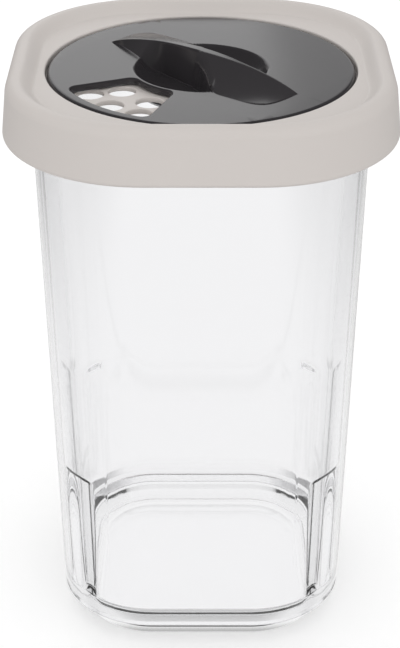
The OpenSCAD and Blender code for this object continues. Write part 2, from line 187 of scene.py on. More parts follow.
class ShakerDialSettings(bpy.types.PropertyGroup):
    """Sizes and finish of the turning dial"""
    diameter: length("Diameter", "Diameter of the disc", DIAL_HIGH[0] - DIAL_LOW[0])
    thickness: length("Thickness", "Thickness of the disc", 1.5 * MM)
    edge_round: length("Edge rounding", "Rounding of the disc's upper edge", 1.0 * MM)
    under_round: length("Under rounding", "Rounding of the disc's lower edge", 0.3 * MM)
    hub: length("Hub", "Diameter of the hub that turns in the deck", 26 * MM)
    hub_fit: length("Hub fit", "Radial gap between the hub and its bore", 0.06 * MM)
    hub_wall: length("Hub wall", "Thickness of the hub's wall", 1.8 * MM)
    snap_out: length("Retaining lip", "How far the hub's lip reaches under the deck", 0.8 * MM)
    snap_height: length("Lip height", "Height of the retaining lip", 1.6 * MM)
    snap_gap: length("Lip gap", "Gap between the deck and the retaining lip", 0.25 * MM)
    bowl: length("Bowl", "Diameter of the finger bowl", 27.2 * MM)
    bowl_depth: length("Bowl depth", "Depth of the finger bowl", 3.6 * MM)
    bowl_flat: length("Bowl flat", "Diameter of the flat floor of the bowl", 15 * MM)
    bowl_floor: length("Bowl floor", "Thickness of the bowl's floor", 1.2 * MM)
    bowl_round: length("Bowl rounding", "Softness of the bowl's rim", 0.35 * MM)
    window_angle: turn("Window", "Direction of the window from the axis", 226)
    window_span: turn("Window span", "Angle that the window opens", 46)
    window_rim: length("Window rim", "Width of the disc outside the window", 2.55 * MM)
    window_web: length("Window web", "Width of the web between the bowl and the window", 0.9 * MM)
    window_round: length("Window rounding", "Rounding of the window's corners", 1.8 * MM)
    window_edge: length("Window edge", "Rounding of the window's upper edge", 0.35 * MM)
    fin_length: length("Fin length", "Length of the grip fin from tip to tip", 48.4 * MM)
    fin_rise: length("Fin rise", "Height of the fin's crest above the flat top", 3.9 * MM)
    fin_top: length("Fin top", "Width of the crest at its middle", 1.9 * MM)
    fin_tip: length("Fin tip", "Width of the crest at its tips", 0.5 * MM)
    fin_foot: length("Fin foot", "How far out both flanks end at the middle", 2.4 * MM)
    fin_neck: length("Fin neck", "How far out the steep flank ends where it is thinnest", 1.0 * MM)
    neck_at: length("Neck place", "From the middle to where the steep flank is thinnest", 9 * MM)
    fin_flare: length("Fin flare", "How far out the steep flank ends at the bowl's edge", 3.7 * MM)
    fin_ramp: length("Fin ramp", "How far out the broad flank ends outside the bowl", 10 * MM)
    ramp_from: length("Ramp start", "From the middle to where the broad flank is fully spread", 13 * MM)
    fin_edge: length("Fin edge", "Rounding of the crest's edges", 0.3 * MM)
    foot_round: length("Foot rounding", "Rounding where the flanks meet the disc and the bowl", 0.2 * MM)
    fin_brow: length("Fin brow", "Rounding where the broad flank breaks into its wall in the bowl", 4 * MM)
    fin_arch: share("Fin arch", "Power of the crest's arch", 0.8, 2.0)
    fin_angle: turn("Fin angle", "Direction of the fin", -39)
    tint: colour("Tint", "Colour of the dial's glossy plastic", 0.035, 0.032, 0.035)
    roughness: share("Roughness", "Roughness of the dial's glossy plastic", 0.16)


class ShakerStageSettings(bpy.types.PropertyGroup):
    """Camera, floor and light"""
    camera_back: length("Camera back", "How far the camera stands in front of the jar", 0.34473)
    camera_up: length("Camera height", "Height of the camera above the table", 0.25224)
    camera_pitch: turn("Camera pitch", "How far the camera looks down", 28.62)
    focal_length: FloatProperty(name="Focal length", description="Focal length of the camera in millimetres",
                                default=99.05)
    shift: FloatProperty(name="Shift", description="Sideways shift of the frame", default=-0.00207)
    even_light: share("Even light", "Strength of the light from all round", 0.78)
    mirrored_back: share("Mirrored back", "Brightness of the low back in gloss", 0.77)
    mirrored_rest: share("Mirrored rest", "Brightness of all but the low back in gloss", 0.13)
    dim_sides: share("Dim sides", "Brightness of the studio's sides through the clear jar", 0.4)
    floor_tone: share("Floor tone", "Share of the light that the floor gives back", 0.8)
    floor_glow: share("Floor glow", "Brightness added to the floor where the camera sees it", 0.42)
    floor_shown: share("Shown floor", "Brightness of the floor in and through plastic", 0.95)
    floor_aside: share("Floor sides", "Brightness of the floor's sides in and through plastic", 0.3)
    # Painted contact shadow: share of the floor's glow left in a band under the foot's front, as plastic
    # shows it
    painted_foot_shadow: share("Foot dimming", "Share of the floor's light that is left under the foot's front", 0.45)


# Outlines

def rounded(points, steps=6):
    """A line through (across, up, radius) points with each inner corner rounded by its radius."""
    line = [Vector(points[0][:2])]
    for before, here, after in zip(points, points[1:], points[2:]):
        corner = Vector(here[:2])
        back = (Vector(before[:2]) - corner).normalized()
        ahead = (Vector(after[:2]) - corner).normalized()
        half = back.angle(ahead) / 2
        reach = here[2] / math.tan(half)
        middle = corner + (back + ahead).normalized() * (here[2] / math.sin(half))
        first = corner + back * reach - middle
        last = corner + ahead * reach - middle
        sweep = first.angle_signed(last)
        for step in range(steps + 1):
            c, s = math.cos(-sweep * step / steps), math.sin(-sweep * step / steps)
            line.append(middle + Vector((first.x * c - first.y * s, first.x * s + first.y * c)))
    line.append(Vector(points[-1][:2]))
    return line


def smooth(t):
    """Smooth step from 0 to 1."""
    t = min(max(t, 0.0), 1.0)
    return t * t * (3 - 2 * t)


def spread(low, high, count):
    """Evenly spaced numbers, both ends included."""
    return [low + (high - low) * i / (count - 1) for i in range(count)]


class RoundSquare:
    """Stations round a square with round corners, shared by every ring of a piece."""

    def __init__(self, flat, angles, side_shares=(0.05, 0.5, 0.95)):
        self.corner = flat / 2
        self.stations = []
        for quarter in range(4):
            base = quarter * QUARTER
            here = self.turned(base)
            following = self.turned(base + QUARTER)
            for a in angles:
                from_side = a if quarter % 2 == 0 else QUARTER - a
                self.stations.append((here, base + a, from_side))
            for part in side_shares:
                self.stations.append((here.lerp(following, part), base + QUARTER, 0.0))

    def turned(self, angle):
        """The corner's centre after a turn about the axis."""
        c, s = math.cos(angle), math.sin(angle)
        return Vector((self.corner * (c - s), self.corner * (s + c)))

    def ring(self, half_width, height):
        """A ring at a half width, which may depend on the angle from the left or right side."""
        points = []
        for centre, direction, from_side in self.stations:
            reach = (half_width(from_side) if callable(half_width) else half_width) - self.corner
            points.append(Vector((
                centre.x + reach * math.cos(direction), centre.y + reach * math.sin(direction), height)))
        return points

    def circle(self, radius, height, like):
        """A round ring whose stations lie on the same rays as those of another half width."""
        points = []
        for p in self.ring(like, height):
            ray = Vector((p.x, p.y)).normalized() * radius
            points.append(Vector((ray.x, ray.y, height)))
        return points


# Meshes

def new_object(name, vertices, faces):
    """A smooth mesh object in the scene."""
    mesh = bpy.data.meshes.new(name)
    mesh.from_pydata([tuple(v) for v in vertices], [], faces)
    mesh.validate()
    mesh.polygons.foreach_set("use_smooth", [True] * len(mesh.polygons))
    piece = bpy.data.objects.new(name, mesh)
    bpy.context.scene.collection.objects.link(piece)
    return piece


def loft(name, rings, round_trip=False):
    """Joins rings of equal length; the ends are closed by fans, or joined in a round trip."""
    count = len(rings[0])
    vertices = [p for ring in rings for p in ring]
    faces = []
    pairs = list(zip(range(len(rings)), range(1, len(rings))))
    if round_trip:
        pairs.append((len(rings) - 1, 0))
    for low, high in pairs:
        for i in range(count):
            j = (i + 1) % count
            faces.append((low * count + i, low * count + j, high * count + j, high * count + i))
    if not round_trip:
        for ring, flip in ((0, True), (len(rings) - 1, False)):
            tip = len(vertices)
            vertices.append(sum(rings[ring], Vector()) / count)
            for i in range(count):
                a, b = ring * count + i, ring * count + (i + 1) % count
                faces.append((b, a, tip) if flip else (a, b, tip))
    return new_object(name, vertices, faces)


def cut(piece, cutter):
    """Cuts one piece by another, which is then deleted."""
    modifier = piece.modifiers.new("cut", "BOOLEAN")
    modifier.operation = "DIFFERENCE"
    modifier.solver = "EXACT"
    modifier.object = cutter
    depsgraph = bpy.context.evaluated_depsgraph_get()
    result = bpy.data.meshes.new_from_object(piece.evaluated_get(depsgraph))
    old = piece.data
    piece.modifiers.clear()
    piece.data = result
    result.name = piece.name
    bpy.data.meshes.remove(old)
    spent = cutter.data
    bpy.data.objects.remove(cutter)
    bpy.data.meshes.remove(spent)
    if not piece.data.polygons:
        raise RuntimeError(piece.name + " was lost in a cut")


def finish_mesh(piece, sharp_degrees):
    """Smooth shading with sharp creases past an angle, and flat faces that stay flat."""
    mesh = piece.data
    mesh.polygons.foreach_set("use_smooth", [True] * len(mesh.polygons))
    mesh.set_sharp_from_angle(angle=math.radians(sharp_degrees))
    normals = piece.modifiers.new("flat faces", "WEIGHTED_NORMAL")
    normals.keep_sharp = True
    normals.weight = 60


def join_meshes(name, parts):
    """One object from several closed shells."""
    vertices, faces = [], []
    for part in parts:
        start = len(vertices)
        vertices.extend(v.co.copy() for v in part.data.vertices)
        faces.extend(tuple(start + i for i in polygon.vertices) for polygon in part.data.polygons)
        spent = part.data
        bpy.data.objects.remove(part)
        bpy.data.meshes.remove(spent)
    return new_object(name, vertices, faces)


def flared(low, high, flare_low, flare_high, over=0.05 * MM):
    """(Height, extra reach) pairs of a cutter whose ends flare out, so that it leaves rounded rims."""
    lean = math.radians(75)

    def end(flare):
        arc = [(flare * (1 - math.sin(a)), flare * (1 - math.cos(a))) for a in spread(0, lean, 5)]
        return arc + [(-over, arc[-1][1] + (arc[-1][0] + over) * math.tan(lean))]

    bottom = [(low + down, out) for down, out in reversed(end(flare_low))]
    return bottom + [(high - down, out) for down, out in end(flare_high)]


# Jar

def jar_wall(jar, height):
    """Half width of the jar's outside at this height."""
    body = jar.foot_height + jar.base_round
    lean = (jar.rim_width - jar.base_width) / 2 / (jar.height - body)
    return jar.base_width / 2 + lean * (height - body)


def jar_mouth(jar, height):
    """Half width of the jar's inside at this height."""
    return jar_wall(jar, height) - jar.wall


def ledge_cover(jar, from_side, height):
    """How far, from 0 to 1, a corner's ledge is raised at this angle in the corner and this height."""
    radius = jar_mouth(jar, jar.ledge_height) - jar.side_flat / 2
    aside = abs(from_side - jar.ledge_angle) * radius / (jar.ledge_width / 2)
    column = (1 + math.cos(math.pi * min(aside, 1.0))) / 2
    return column * smooth((jar.ledge_height - height) / jar.ledge_fall)


def corner_angles(jar):
    """Angles across one corner, close together where its ledge may stand."""
    radius = jar_mouth(jar, jar.ledge_height) - jar.side_flat / 2
    half = jar.ledge_width / 2 / radius
    first = min(jar.ledge_angle, QUARTER - jar.ledge_angle) - half
    last = QUARTER - first
    few, many = 8, 60
    return spread(0, first, few)[:-1] + spread(first, last, many) + spread(last, QUARTER, few)[1:]


def dome_rings(edge, rise, height):
    """Rings of a shallow dome inside an edge, from its middle out."""
    rings = []
    for part in DOME_SHARES:
        z = height + rise * (1 - part * part)
        rings.append([Vector((p.x * part, p.y * part, z)) for p in edge])
    return rings


def jar_rings(jar):
    """Rings from the middle of the foot's hollow, over the rim, to the middle of the floor."""
    around = RoundSquare(jar.side_flat, corner_angles(jar))
    foot_x = jar.base_width / 2 - jar.foot_inset
    floor_x = foot_x - jar.foot_ring
    bead_z = jar.height - jar.bead_height
    bead_x = jar_wall(jar, jar.height) + jar.bead_out
    bevel_z = jar.foot_height + jar.bevel_height
    under_rim = jar.height - 3 * MM
    over_bevel = bevel_z + 6 * MM
    outside = rounded([
        (floor_x - jar.hollow_land, jar.hollow_rise, 0),
        (floor_x, 0, SOFT),
        (foot_x, 0, jar.foot_round),
        (foot_x, jar.foot_height, jar.step_round),
        (jar.base_width / 2, jar.foot_height, jar.base_round),
        (jar_wall(jar, bead_z - jar.bead_out), bead_z - jar.bead_out, SOFT),
        (bead_x, bead_z, jar.bead_round),
        (bead_x, jar.height, jar.rim_round),
        (jar_mouth(jar, jar.height), jar.height, jar.rim_round),
        (jar_mouth(jar, under_rim), under_rim, 0),
    ])
    inside = rounded([
        (jar_mouth(jar, over_bevel), over_bevel, 0),
        (jar_mouth(jar, bevel_z), bevel_z, jar.bevel_round),
        (floor_x, jar.floor_thickness, jar.floor_round),
        (floor_x - jar.floor_land, jar.floor_thickness, 0),
    ])
    rings = dome_rings(around.ring(floor_x - jar.hollow_land, 0), jar.floor_rise, jar.hollow_rise)
    rings += [around.ring(p.x, p.y) for p in outside]
    top = jar.ledge_height
    above, below, near = 6 * MM, 8 * MM, 0.1 * MM
    for z in [top + above] + spread(top + near, top - jar.ledge_fall - near, 14) + [top - below]:
        mouth = jar_mouth(jar, z)
        rings.append(around.ring(lambda a, z=z, m=mouth: m - jar.ledge_depth * ledge_cover(jar, a, z), z))
    for p in inside:
        hold = smooth((p.x - floor_x) / (jar_mouth(jar, bevel_z) - floor_x))
        rings.append(around.ring(
            lambda a, p=p, h=hold: p.x - h * jar.ledge_depth * ledge_cover(jar, a, p.y), p.y))
    floor_edge = around.ring(floor_x - jar.floor_land, 0)
    rings += reversed(dome_rings(floor_edge, jar.floor_rise, jar.floor_thickness))
    return rings


# Lid

def sector(inner, outer, half, radius, steps=8):
    """Outline of a ring sector about the X axis, with round corners."""
    out_r, in_r = outer - radius, inner + radius
    out_a, in_a = half - math.asin(radius / out_r), half - math.asin(radius / in_r)

    def arc(reach, direction, r, start, end):
        x, y = reach * math.cos(direction), reach * math.sin(direction)
        return [Vector((x + r * math.cos(a), y + r * math.sin(a))) for a in spread(start, end, steps)]

    outline = (
        arc(0, 0, outer, -out_a, out_a)
        + arc(out_r, out_a, radius, out_a, half + QUARTER)[1:]
        + arc(in_r, in_a, radius, half + QUARTER, in_a + math.pi)
        + arc(0, 0, inner, in_a, -in_a)[1:]
        + arc(in_r, -in_a, radius, math.pi - in_a, 3 * QUARTER - half)[1:]
        + arc(out_r, -out_a, radius, -QUARTER - half, -out_a)[:-1]
    )
    return outline


def placed(outline, direction, height):
    """A flat outline turned about the axis and set at a height."""
    c, s = math.cos(direction), math.sin(direction)
    return [Vector((p.x * c - p.y * s, p.x * s + p.y * c, height)) for p in outline]


def hole_cutter(name, radius, direction, diameter, low, high, flares, steps=40):
    """A cutter for one round hole in the deck, with flared ends."""
    centre = Vector((radius * math.cos(direction), radius * math.sin(direction)))
    rings = []
    for height, out in flared(low, high, *flares):
        reach = diameter / 2 + out
        rings.append([
            Vector((centre.x + reach * math.cos(a), centre.y + reach * math.sin(a), height))
            for a in (math.tau * i / steps for i in range(steps))])
    return loft(name, rings)


def window_cutter(name, inner, outer, half, radius, direction, low, high, flare):
    """A cutter in the shape of a ring sector, with flared ends."""
    middle = (inner + outer) / 2
    rings = []
    for height, out in flared(low, high, flare, flare):
        outline = sector(inner - out, outer + out, half + out / middle, radius + out)
        rings.append(placed(outline, direction, height))
    return loft(name, rings)


def lid_rings(jar, lid, dial):
    """Rings from the deck's bore over the crown and the skirt, back along the underside."""
    around = RoundSquare(jar.side_flat, spread(0, QUARTER, 28), spread(0, 1, 12)[1:-1])
    lip_x = lid.width / 2
    shoulder_x = lip_x - lid.skirt_lean
    crown_x = shoulder_x - lid.shoulder
    crown_z = LID_HIGH[2]
    top_z = crown_z - lid.crown_rise
    flat_x = crown_x - lid.crown_width
    deck_z = jar.height + lid.deck
    recess = dial.diameter / 2 + lid.dial_gap
    bore = dial.hub / 2 + dial.hub_fit
    groove_x = jar_wall(jar, jar.height) + jar.bead_out + lid.bead_fit
    groove_z = crown_z - lid.crown_thickness
    plug_z = LID_LOW[2]
    plug_out = jar_mouth(jar, plug_z) - lid.plug_fit
    plug_top = jar_mouth(jar, jar.height - jar.rim_round) - lid.plug_fit
    plug_in = plug_out - lid.plug_wall
    plug_round = lid.plug_wall * 0.45
    edge = lid.deck_round
    deck_line = rounded([
        (bore, jar.height + lid.deck / 2, 0),
        (bore, deck_z, edge),
        (recess, deck_z, edge),
        (recess, top_z, lid.recess_round),
        (recess + 0.8 * MM, top_z, 0),
    ])
    rings = [around.circle(p.x, p.y, flat_x) for p in deck_line]
    rings.append(around.ring(flat_x - 0.3 * MM, top_z))
    for t in spread(1, 0, 14):
        fall = lid.crown_rise * (smooth(t) + t ** CROWN_POWER) / 2
        rings.append(around.ring(crown_x - lid.crown_width * t, crown_z - fall))
    skirt_line = rounded([
        (crown_x, crown_z, 0),
        (shoulder_x, crown_z, lid.shoulder * NEARLY),
        (lip_x, lid.lip_height, lid.lip_round),
        (lip_x - lid.wall, lid.lip_height, lid.lip_round * 0.8),
        (shoulder_x - lid.wall, groove_z, SOFT),
        (groove_x, groove_z, SOFT),
        (groove_x, jar.height, FINE),
        (plug_top, jar.height, CRISP),
        (plug_top, jar.height - jar.rim_round, FINE),
        (plug_out, plug_z, plug_round),
        (plug_in, plug_z, plug_round),
        (plug_in, jar.height, SOFT),
        (plug_in - 1 * MM, jar.height, 0),
    ], steps=8)
    rings += [around.ring(p.x, p.y) for p in skirt_line[1:]]
    rings.append(around.circle(bore + edge, jar.height, plug_in))
    rings.append(around.circle(bore, jar.height + edge, plug_in))
    return rings


def window_reach(dial):
    """Distances of the window's inner and outer sides from the axis."""
    inner = max(dial.bowl, dial.hub) / 2 + dial.window_web
    outer = dial.diameter / 2 - dial.window_rim
    return inner, outer


def deck_cutters(jar, lid, dial):
    """Cutters for the coarse sieve, the fine sieve and the pouring hole."""
    low, high = jar.height, jar.height + lid.deck
    inner, outer = window_reach(dial)
    coarse_flares, fine_flares = (lid.hole_flare, lid.hole_round), (lid.fine_round, lid.fine_round)
    holes = []
    for radius, step, places in (
            (outer - lid.coarse_outer, lid.outer_step, (-1, 0, 1)),
            (inner + lid.coarse_inner, lid.inner_step, (-0.5, 0.5))):
        for k in places:
            holes.append((radius, lid.coarse_angle + k * step, lid.coarse_hole, coarse_flares))
    fine_angle = lid.coarse_angle + QUARTER
    for radius in spread(inner + lid.fine_margin, outer - lid.fine_margin, 4):
        count = math.floor(lid.fine_spread * radius / lid.fine_pitch) + 1
        for part in spread(-0.5, 0.5, count):
            holes.append((radius, fine_angle + part * lid.fine_spread, lid.fine_hole, fine_flares))
    shells = [hole_cutter("hole", r, a, d, low, high, flares) for r, a, d, flares in holes]
    shells.append(window_cutter(
        "pour", inner + lid.pour_margin, outer - lid.pour_margin, lid.pour_span / 2, dial.window_round,
        lid.coarse_angle - QUARTER, low, high, lid.hole_round))
    return join_meshes("deck_cutters", shells)


# Dial

def bowl_height(dial, u, v):
    """Height of the bowl and the flat round it, with a rounded rim, above the dial's flat top."""
    run = (dial.bowl - dial.bowl_flat) / 2
    bend = (run ** 2 + dial.bowl_depth ** 2) / (2 * dial.bowl_depth)
    out = min(max(math.hypot(u, v) - dial.bowl_flat / 2, 0.0), bend * NEARLY)
    cap = bend - dial.bowl_depth - math.sqrt(bend ** 2 - out ** 2)
    mix = min(max(0.5 - 0.5 * cap / dial.bowl_round, 0.0), 1.0)
    return cap * mix - dial.bowl_round * mix * (1 - mix)


def fin_flank(dial, u, side):
    """Line down one flank of the fin at u along it, from the edge of its crest to under its foot."""
    rim, half = dial.bowl / 2, dial.fin_length / 2
    a = min(abs(u), half)
    part = a / half
    top = max(dial.fin_tip, dial.fin_top * (1 - part ** 2) ** CREST_TAPER) / 2
    crest = dial.fin_rise * (1 - part ** 2) ** dial.fin_arch
    if side * u < 0:
        out = dial.fin_foot + (dial.fin_ramp - dial.fin_foot) * smooth(a / dial.ramp_from)
        out = max(out * math.sqrt(1 - part ** RAMP_SQUARE), top + SLIVER)
        brow = crest - crest * (out - top) / (dial.fin_ramp - top)
        depth = brow + dial.bowl_depth + 1 * MM
        outside = smooth((math.hypot(a, out) - rim + BROW_FADE) / BROW_FADE)
        bend = min(dial.fin_brow * (1 - outside) + 0.05 * MM, (out - top) * BROW_SHARE)
        wall_foot = (out + depth * WALL_LEAN, brow - depth, 0)
        return rounded([(top, crest, 0), (out, brow, bend), wall_foot], steps=10)
    out = dial.fin_foot + (dial.fin_neck - dial.fin_foot) * smooth(a / dial.neck_at)
    out += (dial.fin_flare - dial.fin_neck) * smooth((a - dial.neck_at) / (rim - dial.neck_at))
    out = max(out * (1 - max(a - rim, 0) / (half - rim)) ** FLARE_TAPER, top + SLIVER)
    start = Vector((top, crest))
    foot = Vector((out, min(bowl_height(dial, u, out), crest) - 0.03 * MM))
    return [start, start.lerp(foot, FLANK_RUN)]


def along(line, distance):
    """The point at a distance along a line of points."""
    for p, q in zip(line, line[1:]):
        step = (q - p).length
        if distance <= step:
            return p.lerp(q, distance / step)
        distance -= step
    return line[-1]


def bent(start, corner, end, count):
    """Points of a soft bend from start to end, drawn towards a corner; the start itself is left out."""
    points = []
    for t in spread(0, 1, count + 1)[1:]:
        points.append(start * (1 - t) ** 2 + corner * 2 * t * (1 - t) + end * t * t)
    return points


def fin_line(dial, u, side, outer):
    """Half of a cross section of the dial's top at u along the fin: (across, up) from its middle out."""
    flank = fin_flank(dial, u, side)
    above, below = 0.0, sum((q - p).length for p, q in zip(flank, flank[1:]))
    for _ in range(40):
        middle = (above + below) / 2
        p = along(flank, middle)
        if p.y > bowl_height(dial, u, p.x):
            above = middle
        else:
            below = middle
    top, crest = flank[0]
    most = above * 0.3
    edge = min(dial.fin_edge, top * 0.6, most)
    foot = min(dial.foot_round, most)
    line = [Vector(((top - edge) * part, crest)) for part in spread(0, 1, 4)]
    line += bent(line[-1], flank[0], along(flank, edge), 5)
    line += [along(flank, distance) for distance in spread(edge, above - foot, 28)[1:]]
    corner = along(flank, above)
    away = corner.x + foot * 0.8
    line += bent(line[-1], corner, Vector((away, bowl_height(dial, u, away))), 5)
    near = dial.bowl / 2 + 0.7 * MM
    for v in spread(away, near, 62)[1:] + spread(near, outer, 4)[1:]:
        line.append(Vector((v, bowl_height(dial, u, v))))
    return line


def dial_top(dial):
    """Height of the dial's flat top above the table."""
    return DIAL_HIGH[2] - dial.fin_rise


def fin_stations(dial):
    """Places along the fin, close together at the bowl's edge and the fin's tips."""
    rim, half = dial.bowl / 2, dial.fin_length / 2
    places = (0, rim - 2.4 * MM, rim + 0.8 * MM, half - 1.2 * MM, half + 0.4 * MM)
    outward = [0.0]
    for low, high, count in zip(places, places[1:], (26, 30, 18, 14)):
        outward += spread(low, high, count)[1:]
    outward.append(half + 2 * MM)
    return [-u for u in reversed(outward[1:])] + outward


def fin_rows(dial):
    """Rows of points over the bowl and the fin, one cross section for each place along the fin."""
    top = dial_top(dial)
    outer = dial.bowl / 2 + 1.6 * MM
    c, s = math.cos(dial.fin_angle), math.sin(dial.fin_angle)
    rows = []
    for u in fin_stations(dial):
        front, rear = fin_line(dial, u, -1, outer), fin_line(dial, u, 1, outer)
        line = [(-p.x, p.y) for p in reversed(front[1:])] + [(p.x, p.y) for p in rear]
        rows.append([Vector((u * c - v * s, u * s + v * c, top + z)) for v, z in line])
    return rows


def disc_line(dial, jar):
    """Line from the disc's flat top over its edge, under it and down the hub: (from the axis, up)."""
    top = dial_top(dial)
    edge = dial.diameter / 2
    hub = dial.hub / 2
    under = top - dial.thickness
    snap = jar.height - dial.snap_gap
    hub_low = DIAL_LOW[2]
    pocket = top - dial.bowl_depth - dial.bowl_floor
    inside = hub - dial.hub_wall
    return rounded([
        (edge - 1 * MM, top, 0),
        (edge, top, dial.edge_round),
        (edge, under, dial.under_round),
        (hub, under, FINE),
        (hub, snap, 0.1 * MM),
        (hub + dial.snap_out, snap, CRISP),
        (hub + dial.snap_out, snap - dial.snap_height / 2, CRISP),
        (hub, hub_low, CRISP),
        (inside, hub_low, SLIVER),
        (inside, pocket, SLIVER),
        (inside * 0.6, pocket, 0),
    ], steps=4)


def dial_mesh(dial, jar):
    """The disc with its bowl and fin on top and its hub below, without the window."""
    rows = fin_rows(dial)
    across = len(rows[0])
    last_row, last_column = len(rows) - 1, across - 1
    vertices = [p for row in rows for p in row]
    faces = []
    for i in range(last_row):
        for j in range(last_column):
            a = i * across + j
            faces.append((a, a + across, a + across + 1, a + 1))
    rim = [(i, 0) for i in range(last_row)]
    rim += [(last_row, j) for j in range(last_column)]
    rim += [(i, last_column) for i in range(last_row, 0, -1)]
    rim += [(0, j) for j in range(last_column, 0, -1)]
    loop = [i * across + j for i, j in rim]
    rays = [Vector((vertices[k].x, vertices[k].y)).normalized() for k in loop]
    line = disc_line(dial, jar)
    count = len(loop)
    previous = loop
    for p in line:
        start = len(vertices)
        vertices.extend(Vector((ray.x * p.x, ray.y * p.x, p.y)) for ray in rays)
        current = list(range(start, start + count))
        for k in range(count):
            m = (k + 1) % count
            faces.append((previous[k], current[k], current[m], previous[m]))
        previous = current
    tip = len(vertices)
    vertices.append(Vector((0, 0, line[-1].y)))
    for k in range(count):
        faces.append((previous[k], tip, previous[(k + 1) % count]))
    return new_object("dial_moulding", vertices, faces)


# Materials

class Nodes:
    """A material's node tree with its shader ready to be set."""

    def __init__(self, name):
        self.material = bpy.data.materials.new(name)
        self.material.use_nodes = True
        self.tree = self.material.node_tree
        self.shader = self.tree.nodes["Principled BSDF"]

    def add(self, kind, **settings):
        """A new node with some of its settings given."""
        node = self.tree.nodes.new(kind)
        for key, value in settings.items():
            setattr(node, key, value)
        return node

    def link(self, source, target):
        """Joins an output to an input."""
        self.tree.links.new(source, target)

    def noise(self, scale, detail=3.0, roughness=0.55):
        """Noise in the object's own metres."""
        place = self.add("ShaderNodeTexCoord")
        noise = self.add("ShaderNodeTexNoise")
        noise.inputs["Scale"].default_value = scale
        noise.inputs["Detail"].default_value = detail
        noise.inputs["Roughness"].default_value = roughness
        self.link(place.outputs["Object"], noise.inputs["Vector"])
        return noise.outputs["Fac"]

    def ramp(self, source, low, high):
        """Maps a 0 to 1 value onto a range."""
        node = self.add("ShaderNodeMapRange")
        node.inputs["To Min"].default_value = low
        node.inputs["To Max"].default_value = high
        self.link(source, node.inputs["Value"])
        return node.outputs["Result"]

    def mottle(self, source, dark, light):
        """Mixes two near colours by a value."""
        mix = self.add("ShaderNodeMix", data_type="RGBA")
        mix.inputs["A"].default_value = (*dark, 1)
        mix.inputs["B"].default_value = (*light, 1)
        self.link(source, mix.inputs["Factor"])
        for output in mix.outputs:
            if output.type == "RGBA":
                self.link(output, self.shader.inputs["Base Color"])

    def bump(self, source, strength, depth):
        """Raises the surface by a value."""
        bump = self.add("ShaderNodeBump")
        bump.inputs["Strength"].default_value = strength
        bump.inputs["Distance"].default_value = depth
        self.link(source, bump.inputs["Height"])
        self.link(bump.outputs["Normal"], self.shader.inputs["Normal"])

    def set(self, **values):
        """Sets plain values on the shader's own sockets."""
        for key, value in values.items():
            self.shader.inputs[key.replace("_", " ")].default_value = value


def shade(colour_value, factor):
    """A colour made darker or lighter."""
    return tuple(min(1.0, c * factor) for c in colour_value)


def clear_plastic(jar):
    """Clear moulded plastic with faint flow waves."""
    nodes = Nodes("clear_moulded_plastic")
    nodes.set(IOR=jar.index, Transmission_Weight=1.0, Base_Color=(*jar.tint, 1))
    nodes.link(nodes.ramp(nodes.noise(60), 0.0, 0.05), nodes.shader.inputs["Roughness"])
    inside = nodes.add("ShaderNodeVolumeAbsorption")
    inside.inputs["Color"].default_value = (*jar.depth_tint, 1)
    inside.inputs["Density"].default_value = jar.depth
    nodes.link(inside.outputs["Volume"], nodes.tree.nodes["Material Output"].inputs["Volume"])
    return nodes.material


def satin_plastic(lid):
    """Warm satin plastic with a fine spark-eroded grain."""
    nodes = Nodes("satin_lid_plastic")
    nodes.mottle(nodes.noise(25, 2), shade(lid.tint, 0.985), shade(lid.tint, 1.01))
    nodes.link(nodes.ramp(nodes.noise(900, 2), lid.roughness - 0.06, lid.roughness + 0.06),
               nodes.shader.inputs["Roughness"])
    nodes.bump(nodes.noise(4200, 2), 0.12, 0.04 * MM)
    nodes.set(IOR=1.48)
    return nodes.material


def glossy_plastic(dial):
    """Dark glossy plastic with a trace of mould texture."""
    nodes = Nodes("glossy_dial_plastic")
    nodes.mottle(nodes.noise(40, 2), shade(dial.tint, 0.96), shade(dial.tint, 1.04))
    nodes.link(nodes.ramp(nodes.noise(700, 2), dial.roughness - 0.03, dial.roughness + 0.03),
               nodes.shader.inputs["Roughness"])
    nodes.bump(nodes.noise(2500, 2), 0.04, 0.02 * MM)
    nodes.set(IOR=1.5)
    return nodes.material


def dress(piece, material, node, body):
    """Gives a piece its material and its body, and hides the solid that it stands for."""
    piece.data.materials.clear()
    piece.data.materials.append(material)
    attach(piece, body)
    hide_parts(node)


# Operators

class SHAKER_OT_jar(bpy.types.Operator):
    """Make the clear jar"""
    bl_idname = "shaker.jar"
    bl_label = "Jar"

    def execute(self, context):
        jar = context.scene.shaker_jar
        piece = loft("clear_jar", jar_rings(jar))
        finish_mesh(piece, 60)
        dress(piece, clear_plastic(jar), "jar", "jar")
        return {"FINISHED"}


class SHAKER_OT_lid(bpy.types.Operator):
    """Make the push-on lid with its sieve deck"""
    bl_idname = "shaker.lid"
    bl_label = "Lid"

    def execute(self, context):
        scene = context.scene
        jar, lid, dial = scene.shaker_jar, scene.shaker_lid, scene.shaker_dial
        piece = loft("sieve_lid", lid_rings(jar, lid, dial)[::-1], round_trip=True)
        cut(piece, deck_cutters(jar, lid, dial))
        finish_mesh(piece, 40)
        dress(piece, satin_plastic(lid), "lid", "lid")
        return {"FINISHED"}


class SHAKER_OT_dial(bpy.types.Operator):
    """Make the turning dial with its bowl, fin and window"""
    bl_idname = "shaker.dial"
    bl_label = "Dial"

    def execute(self, context):
        scene = context.scene
        jar, dial = scene.shaker_jar, scene.shaker_dial
        piece = dial_mesh(dial, jar)
        inner, outer = window_reach(dial)
        top = dial_top(dial)
        cut(piece, window_cutter("window", inner, outer, dial.window_span / 2, dial.window_round,
                                 dial.window_angle, top - dial.thickness, top, dial.window_edge))
        finish_mesh(piece, 40)
        dress(piece, glossy_plastic(dial), "dial", "dial")
        return {"FINISHED"}


